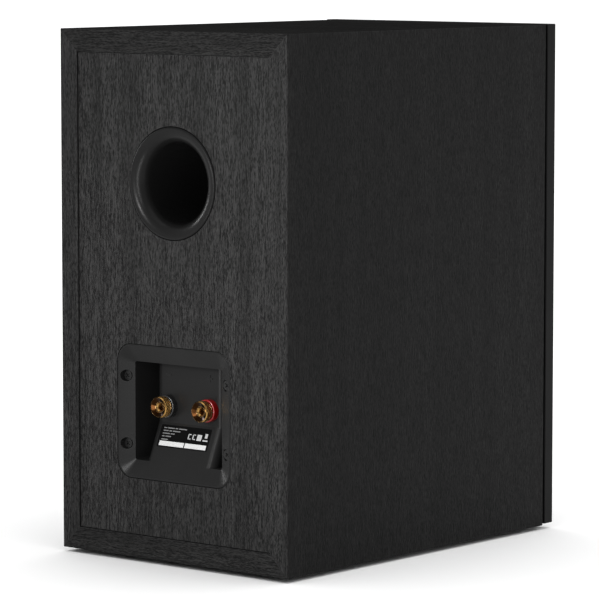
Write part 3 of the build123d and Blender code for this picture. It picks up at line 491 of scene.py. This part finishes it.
def woven(name, dark, bright, pitch, centre_z, roughness=0.8, sheen=0.3):
    """Cloth pressed into shape: two crossed sets of yarns."""
    s = Surface(name, {"Specular IOR Level": 0.25, "Sheen Weight": sheen, "Sheen Roughness": 0.5})
    where = s.place((1.0, 1.0, 1.0), (0.0, 0.0, -centre_z))
    frequency = 2 * math.pi / pitch
    warp = s.math("SINE", s.math("MULTIPLY", s.axis(where, X), frequency))
    weft = s.math("SINE", s.math("MULTIPLY", s.axis(where, Z), frequency))
    over = s.math("MULTIPLY", warp, weft)
    yarn = s.math("MULTIPLY", s.math("ADD", s.math("ABSOLUTE", warp), s.math("ABSOLUTE", weft)), 0.5)
    slub = s.noise(s.place(), 700, detail=4.0)
    s.feed("Base Color", s.mix(s.math("MULTIPLY", yarn, slub), dark, bright))
    s.feed("Roughness", s.between(slub, 0.3, 0.7, roughness - 0.08, roughness + 0.1))
    s.bump(s.math("ADD", yarn, s.math("MULTIPLY", over, 0.3)), 0.0001, 0.5)
    return s.material


def assign(material, *nodes):
    """Give CAD nodes a material."""
    for node in nodes:
        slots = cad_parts[node].data.materials
        slots.clear()
        slots.append(material)


def both(stem):
    return (f"{stem}_negative", f"{stem}_positive")


def middle(node):
    low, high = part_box(node)
    return (low + high) / 2


# ---- the CAD pieces' materials ----
def dress_cabinet():
    # Painted sheen: on the rear face the pale fibres are painted lighter and the dark ones darker than on
    # the sides.
    upright = ash_vinyl("ash_upright", Z, 0.08, dark=(0.0053, 0.0012), bright=(0.0155, 0.026))
    assign(upright, "side_panel_left", "side_panel_right", "rear_panel")
    # Painted sheen: top and bottom have no gloss, and their foil is painted about twice as light as the
    # sides' in its place; their front and back edges are painted darker.
    across = ash_vinyl("ash_across", X, 0.0, dark=(0.0105, 0.0070), bright=(0.029, 0.023))
    assign(across, "top_panel", "bottom_panel")
    assign(lacquer("satin_lacquer"), "front_baffle")
    assign(fibreboard("raw_fibreboard"), "window_brace")
    assign(rubber("foot_rubber"), "rubber_feet")
    assign(moulded("port_plastic", 0.0055, 0.0078, 0.26, specular=0.07), "port_flare", "port_tube")
    assign(moulded("cup_plastic", 0.0066, 0.0092, 0.31, specular=0.08), "terminal_cup")
    assign(foam("foam_strip"), "terminal_gasket")
    assign(label_film("label_film"), "label_plate")


def dress_terminals():
    post = middle("knob_negative")
    assign(gold("gold_plate", post), *both("post_stud"), *both("clamp_washer"), *both("knob"))
    assign(glossy("black_ring", grey(0.006), grey(0.012)), "base_ring_negative")
    assign(glossy("red_ring", rgb(0.16, 0.002, 0.002), rgb(0.24, 0.005, 0.004)), "base_ring_positive")
    assign(metal("tinned", 0.55, 0.72, 0.30), "post_nuts", "solder_tabs", "woofer_terminals",
           "tweeter_terminals")
    assign(blackened_screw("black_screw"), "terminal_screws", "board_screws", "woofer_screws",
           "tweeter_screws")


def dress_crossover():
    assign(circuit_board("circuit_board"), "crossover_board")
    assign(moulded("standoff_plastic", 0.010, 0.018, 0.5), "board_standoffs")
    assign(winding("copper_upright", Z), "woofer_inductor")
    assign(winding("copper_lying", Y), "tweeter_inductor", "voice_coil", "tweeter_voice_coil")
    film = glossy("capacitor_film", rgb(0.010, 0.016, 0.075), rgb(0.020, 0.030, 0.13), 0.28)
    assign(film, "woofer_capacitor", "tweeter_capacitor")
    assign(cement_block("cement"), "resistors")
    jacket = glossy("wire_jacket", grey(0.008), grey(0.020), 0.40, coat=0.0)
    assign(jacket, "input_wires", "woofer_wires", "tweeter_wires")


def dress_drivers():
    woofer_z = middle("woofer_cone").z
    assign(cast_metal("cast_frame"), "woofer_basket")
    assign(rubber("trim_rubber", roughness=0.5), "woofer_trim_ring")
    assign(cone_skin("cone_skin", woofer_z), "woofer_cone", "dust_cap")
    assign(metal("former_foil", 0.62, 0.80, 0.28, (1.0, 0.05, 1.0)), "coil_former")
    steel = metal("zinc_steel", 0.38, 0.55, 0.36)
    assign(steel, "woofer_top_plate", "woofer_yoke", "tweeter_top_plate", "tweeter_yoke")
    assign(moulded("ferrite", 0.018, 0.045, 0.62, grain=1500, edge=0.09), "woofer_magnet",
           "tweeter_magnet")
    assign(moulded("faceplate_plastic", 0.008, 0.013, 0.42), "tweeter_faceplate")
    silk = woven("coated_silk", grey(0.005), grey(0.030), 0.00045, middle("tweeter_dome").z, 0.5)
    assign(silk, "tweeter_dome")
    return silk


# ---- made pieces ----
def finished(name, mesh, material):
    """A new piece from a mesh, with its material."""
    piece = bpy.data.objects.new(name, mesh)
    bpy.context.scene.collection.objects.link(piece)
    mesh.materials.append(material)
    return piece


def sector_mesh(name, outline, centre, start, end, steps):
    """Part of a turned ring about the Y axis, from a closed outline of (radius, y), with capped ends."""
    count = len(outline)
    vertices = []
    for i in range(steps + 1):
        angle = start + (end - start) * i / steps
        for radius, y in outline:
            vertices.append(
                (centre.x + radius * math.cos(angle), y, centre.z + radius * math.sin(angle))
            )
    faces = []
    for i in range(steps):
        for k in range(count):
            a = i * count + k
            b = i * count + (k + 1) % count
            faces.append((a, b, b + count, a + count))
    faces.append(tuple(range(count))[::-1])
    faces.append(tuple(steps * count + k for k in range(count)))
    mesh = bpy.data.meshes.new(name)
    mesh.from_pydata(vertices, [], faces)
    mesh.validate()
    shape = bmesh.new()
    shape.from_mesh(mesh)
    bmesh.ops.recalc_face_normals(shape, faces=shape.faces)
    shape.to_mesh(mesh)
    shape.free()
    set_turned_normals(mesh, outline, centre)
    return mesh


def set_turned_normals(mesh, outline, centre):
    """Smooth normals as the whole ring has them, so that no seam shows between its sectors."""
    crease = math.cos(math.radians(32))
    count = len(outline)
    normals = []
    for face in mesh.polygons:
        face.use_smooth = True
        cap = len(face.vertices) > 4
        for vertex in face.vertices:
            if cap:
                normals.append(face.normal)
                continue
            co = mesh.vertices[vertex].co
            spoke = Vector((co.x - centre.x, 0, co.z - centre.z)).normalized()
            k = vertex % count
            flat = profile_normal(face, spoke)
            before = edge_normal(outline, k - 1)
            after = edge_normal(outline, k)
            own = before if abs(before.dot(flat)) > abs(after.dot(flat)) else after
            sign = 1.0 if own.dot(flat) > 0 else -1.0
            blended = (before + after).normalized() if before.dot(after) > crease else own
            normals.append(((spoke * blended.x + Vector((0, blended.y, 0))) * sign).normalized())
    mesh.normals_split_custom_set(normals)


def profile_normal(face, spoke):
    """A face's normal as (outwards, along Y)."""
    return Vector((face.normal.dot(spoke), face.normal.y)).normalized()


def edge_normal(outline, k):
    """The normal of one side of the outline."""
    a = Vector(outline[k % len(outline)])
    b = Vector(outline[(k + 1) % len(outline)])
    along = (b - a).normalized()
    return Vector((along.y, -along.x))


def flexing_ring(node, outline, sectors, material):
    """A ring that joins the cabinet to a moving body, made as separate sectors about its centre."""
    centre = middle(node)
    steps = 6
    share = 2 * math.pi / sectors
    for i in range(sectors):
        turn = i * share
        name = f"{node}_{i:02d}"
        mesh = sector_mesh(name, outline, centre, turn, turn + share, steps)
        piece = finished(name, mesh, material)
        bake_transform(piece)
        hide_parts(node)


def surround_outline(flat_outer, flat_inner, roll_outer, roll_inner, face_y, thickness, rise):
    """A roll that bulges forwards (-Y) between an outer and an inner flat lip."""
    middle_radius = (roll_outer + roll_inner) / 2
    span = (roll_outer - roll_inner) / 2
    steps = 24
    front = [(flat_outer, face_y)]
    back = [(flat_outer, face_y + thickness)]
    for i in range(steps + 1):
        angle = math.pi * i / steps
        reach = math.cos(angle)
        lift = math.sin(angle)
        big = span + thickness / 2
        small = span - thickness / 2
        front.append((middle_radius + big * reach, face_y - rise * lift))
        back.append((middle_radius + small * reach, face_y + thickness - (rise - 0.1 * thickness) * lift))
    front.append((flat_inner, face_y))
    back.append((flat_inner, face_y + thickness))
    return front + back[::-1]


def spider_outline(inner, outer, waves, level, height, thickness):
    """A corrugated disc with flat lips, in (radius, y)."""
    lip = 0.0008
    steps = 12 * waves
    front = [(outer + 4 * lip, level)]
    back = [(outer + 4 * lip, level + thickness)]
    for i in range(steps + 1):
        radius = outer + (inner - outer) * i / steps
        rise = height * math.sin(2 * math.pi * waves * i / steps)
        front.append((radius, level + rise))
        back.append((radius, level + thickness + rise))
    front.append((inner - lip, level))
    back.append((inner - lip, level + thickness))
    return front + back[::-1]


def make_flexing_rings(silk):
    """The woofer's surround and spider and the tweeter's surround, which bend as the cones move."""
    low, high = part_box("woofer_surround")
    thickness = 0.9 * MM
    lip = high.y - thickness
    outline = surround_outline(
        flat_outer=(high.x - low.x) / 2,
        flat_inner=57.8 * MM,
        roll_outer=70.5 * MM,
        roll_inner=61.5 * MM,
        face_y=lip,
        thickness=thickness,
        rise=lip - low.y,
    )
    skin = rubber("surround_rubber", 0.006, 0.012, 0.45)
    flexing_ring("woofer_surround", outline, 24, skin)

    low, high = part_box("spider")
    hub_radius = 17.5 * MM
    outline = spider_outline(
        inner=hub_radius,
        outer=(high.x - low.x) / 2 - 4.8 * MM,
        waves=5,
        level=(low.y + high.y) / 2 - 0.35 * MM,
        height=1.3 * MM,
        thickness=0.6 * MM,
    )
    tan = rgb(0.28, 0.15, 0.04)
    straw = rgb(0.72, 0.47, 0.18)
    cloth = woven("spider_cloth", tan, straw, 0.0009, middle("spider").z)
    flexing_ring("spider", outline, 16, cloth)

    low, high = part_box("tweeter_surround")
    thickness = 0.4 * MM
    lip = high.y - thickness
    outline = surround_outline(
        flat_outer=(high.x - low.x) / 2,
        flat_inner=14.9 * MM,
        roll_outer=17.6 * MM,
        roll_inner=15.0 * MM,
        face_y=lip,
        thickness=thickness,
        rise=lip - low.y,
    )
    flexing_ring("tweeter_surround", outline, 16, silk)


def make_wadding():
    """Two damping mats: thick soft fibre pads with lumps and a grid of stitched tufts."""
    material = fibre_fill("fibre_fill")
    cuts = 44
    for node in ("wadding_left", "wadding_right"):
        low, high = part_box(node)
        centre = (low + high) / 2
        half = (high - low) / 2
        shape = bmesh.new()
        bmesh.ops.create_cube(shape, size=2.0)
        bmesh.ops.subdivide_edges(shape, edges=shape.edges, cuts=cuts, use_grid_fill=True)
        for vertex in shape.verts:
            u, v, w = vertex.co.y, vertex.co.z, vertex.co.x
            crown = ((1 - abs(u) ** 7) * (1 - abs(v) ** 9)) ** 0.35
            tuft = abs(math.sin(1.5 * math.pi * u)) ** 0.5 * abs(math.sin(2.5 * math.pi * v)) ** 0.5
            lump = noise.noise(Vector((u * 3.1, v * 6.3, w + centre.x * 40)))
            thick = (0.12 + 0.88 * crown) * (0.74 + 0.16 * tuft + 0.10 * lump)
            edge = 1 - 0.02 * (1 + noise.noise(Vector((u * 5, v * 9, w * 2))))
            vertex.co = Vector((
                centre.x + half.x * w * thick,
                centre.y + half.y * u * edge * (1 - 0.015 * abs(w)),
                centre.z + half.z * v * edge,
            ))
        mesh = bpy.data.meshes.new(f"{node}_mat")
        shape.to_mesh(mesh)
        shape.free()
        for face in mesh.polygons:
            face.use_smooth = True
        mat = finished(f"{node}_mat", mesh, material)
        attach(mat, CABINET)
        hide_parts(node)


def label_frame():
    """The label's outer face: the middle of its lower edge, its up-slope direction and its normal."""
    low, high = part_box("label_plate")
    angle = math.atan2(high.y - low.y, high.z - low.z)
    for _ in range(4):
        rise = high.z - low.z - LABEL_THICKNESS * math.sin(angle)
        run = high.y - low.y - LABEL_THICKNESS * math.cos(angle)
        angle = math.atan2(run, rise)
    centre_x = (low.x + high.x) / 2
    foot = Vector((centre_x, high.y, low.z + LABEL_THICKNESS * math.sin(angle)))
    up = Vector((0, -math.sin(angle), math.cos(angle)))
    out = Vector((0, math.cos(angle), math.sin(angle)))
    width = high.x - low.x
    return foot, up, out, width, rise / math.cos(angle)


def printed(name, boxes, material):
    """Raised ink: one thin slab for each (left, bottom, width, height), as shares of the label.

    Left is the left of someone who reads it from behind the speaker, where +X is.
    """
    foot, up, out, width, height = label_frame()
    shape = bmesh.new()
    for left, bottom, wide, tall in boxes:
        start = foot + Vector((1, 0, 0)) * width * (0.5 - left - wide) + up * height * bottom
        basis = Matrix((
            (width * wide, 0, 0, start.x),
            (0, up.y * height * tall, out.y * INK_HEIGHT, start.y),
            (0, up.z * height * tall, out.z * INK_HEIGHT, start.z),
            (0, 0, 0, 1),
        ))
        made = bmesh.ops.create_cube(shape, size=1.0)["verts"]
        for vertex in made:
            vertex.co = basis @ (vertex.co + Vector((0.5, 0.5, 0.5)))
    bmesh.ops.recalc_face_normals(shape, faces=shape.faces)
    mesh = bpy.data.meshes.new(name)
    shape.to_mesh(mesh)
    shape.free()
    piece = finished(name, mesh, material)
    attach(piece, CABINET)


def make_label_print():
    """Generic printing: short grey bars in rows, plain blocks, and two white boxes."""
    bars = []
    for row, widths in enumerate(BAR_ROWS):
        left = MARGIN
        for wide in widths:
            bars.append((left, TOP_ROW - row * ROW_PITCH, wide, BAR_HEIGHT))
            left += wide + BAR_GAP
    bars.append(LAST_BAR)
    printed("label_bars", bars, print_ink("grey_ink", 0.13))
    printed("label_marks", MARKS, print_ink("pale_ink", 0.34))
    printed("label_boxes", BLANK_BOXES, print_ink("white_ink", 0.47))


# ---- stage ----
def make_floor():
    """A wide plain floor."""
    shape = bmesh.new()
    bmesh.ops.create_circle(shape, cap_ends=True, segments=FLOOR_SIDES, radius=FLOOR_RADIUS)
    mesh = bpy.data.meshes.new("floor")
    shape.to_mesh(mesh)
    shape.free()
    floor = bpy.data.objects.new("floor", mesh)
    bpy.context.scene.collection.objects.link(floor)
    s = Surface("pale_floor", {"Specular IOR Level": 0.1, "Roughness": 0.9})
    s.shader.inputs["Base Color"].default_value = grey(FLOOR_TONE)
    mesh.materials.append(s.material)
    return floor


def light_group(name, floor, state):
    """What a lamp lights: the floor alone, or everything but the floor."""
    group = bpy.data.collections.new(name)
    group.objects.link(floor)
    group.collection_objects[0].light_linking.link_state = state
    return group


def broad_light(name, power, spread):
    """A wide soft light from above, a little to one side."""
    data = bpy.data.lights.new(name, "SUN")
    data.energy = power
    data.angle = math.radians(spread)
    lamp = bpy.data.objects.new(name, data)
    bpy.context.scene.collection.objects.link(lamp)
    lamp.rotation_euler = (math.radians(TILT_X), math.radians(TILT_Y), 0)
    return lamp


def soft_box(name, place, aim, size, power, group):
    """An area light that points at a place and lights one group of things."""
    data = bpy.data.lights.new(name, "AREA")
    data.shape = "RECTANGLE"
    data.size, data.size_y = size
    data.energy = power
    lamp = bpy.data.objects.new(name, data)
    bpy.context.scene.collection.objects.link(lamp)
    lamp.location = place
    lamp.visible_camera = False
    lamp.light_linking.receiver_collection = group
    direction = Vector(aim) - Vector(place)
    lamp.rotation_euler = direction.to_track_quat("-Z", "Y").to_euler()


def make_light(floor):
    """A pale sky, two broad lights from above and three soft boxes."""
    world = bpy.data.worlds.new("studio")
    bpy.context.scene.world = world
    world.use_nodes = True
    background = world.node_tree.nodes["Background"]
    background.inputs["Color"].default_value = grey(1.0)
    background.inputs["Strength"].default_value = SKY
    broad_light("overhead", OVERHEAD, OVERHEAD_SPREAD)
    floor_light = broad_light("floor_light", FLOOR_LIGHT, FLOOR_LIGHT_SPREAD)
    floor_light.light_linking.receiver_collection = light_group("floor_only", floor, "INCLUDE")
    group = light_group("all_but_floor", floor, "EXCLUDE")
    soft_box("rear_box", (0.17, 0.95, 0.40), (0.03, 0.147, 0.10), (0.13, 0.13), 4.4, group)
    soft_box("near_box", (-0.08, 0.42, 0.18), (-0.09, 0.147, 0.15), (0.05, 0.36), 1.0, group)
    soft_box("low_side_box", (2.3, 0.45, 0.62), (0, 0.1, 0.12), (0.4, 0.6), 9.0, group)


def make_camera():
    """The camera behind the speaker, above it and to one side."""
    azimuth = math.radians(AZIMUTH)
    elevation = math.radians(ELEVATION)
    right = Vector((math.cos(azimuth), math.sin(azimuth), 0))
    back = Vector((
        math.sin(azimuth) * math.cos(elevation),
        -math.cos(azimuth) * math.cos(elevation),
        math.sin(elevation),
    ))
    up = back.cross(right)
    data = bpy.data.cameras.new("camera")
    data.sensor_width = SENSOR
    data.lens = FOCAL_LENGTH
    data.clip_end = CLIP_END
    camera = bpy.data.objects.new("camera", data)
    bpy.context.scene.collection.objects.link(camera)
    aim = Vector((0, 0, AIM_HEIGHT)) + right * AIM_RIGHT + up * AIM_UP
    turn = Matrix((right, up, back)).transposed().to_4x4()
    camera.matrix_world = Matrix.Translation(aim + back * DISTANCE) @ turn
    bpy.context.scene.camera = camera


bpy.context.scene.view_settings.view_transform = "Standard"
make_camera()
make_light(make_floor())
dress_cabinet()
dress_terminals()
dress_crossover()
make_flexing_rings(dress_drivers())
make_wadding()
make_label_print()
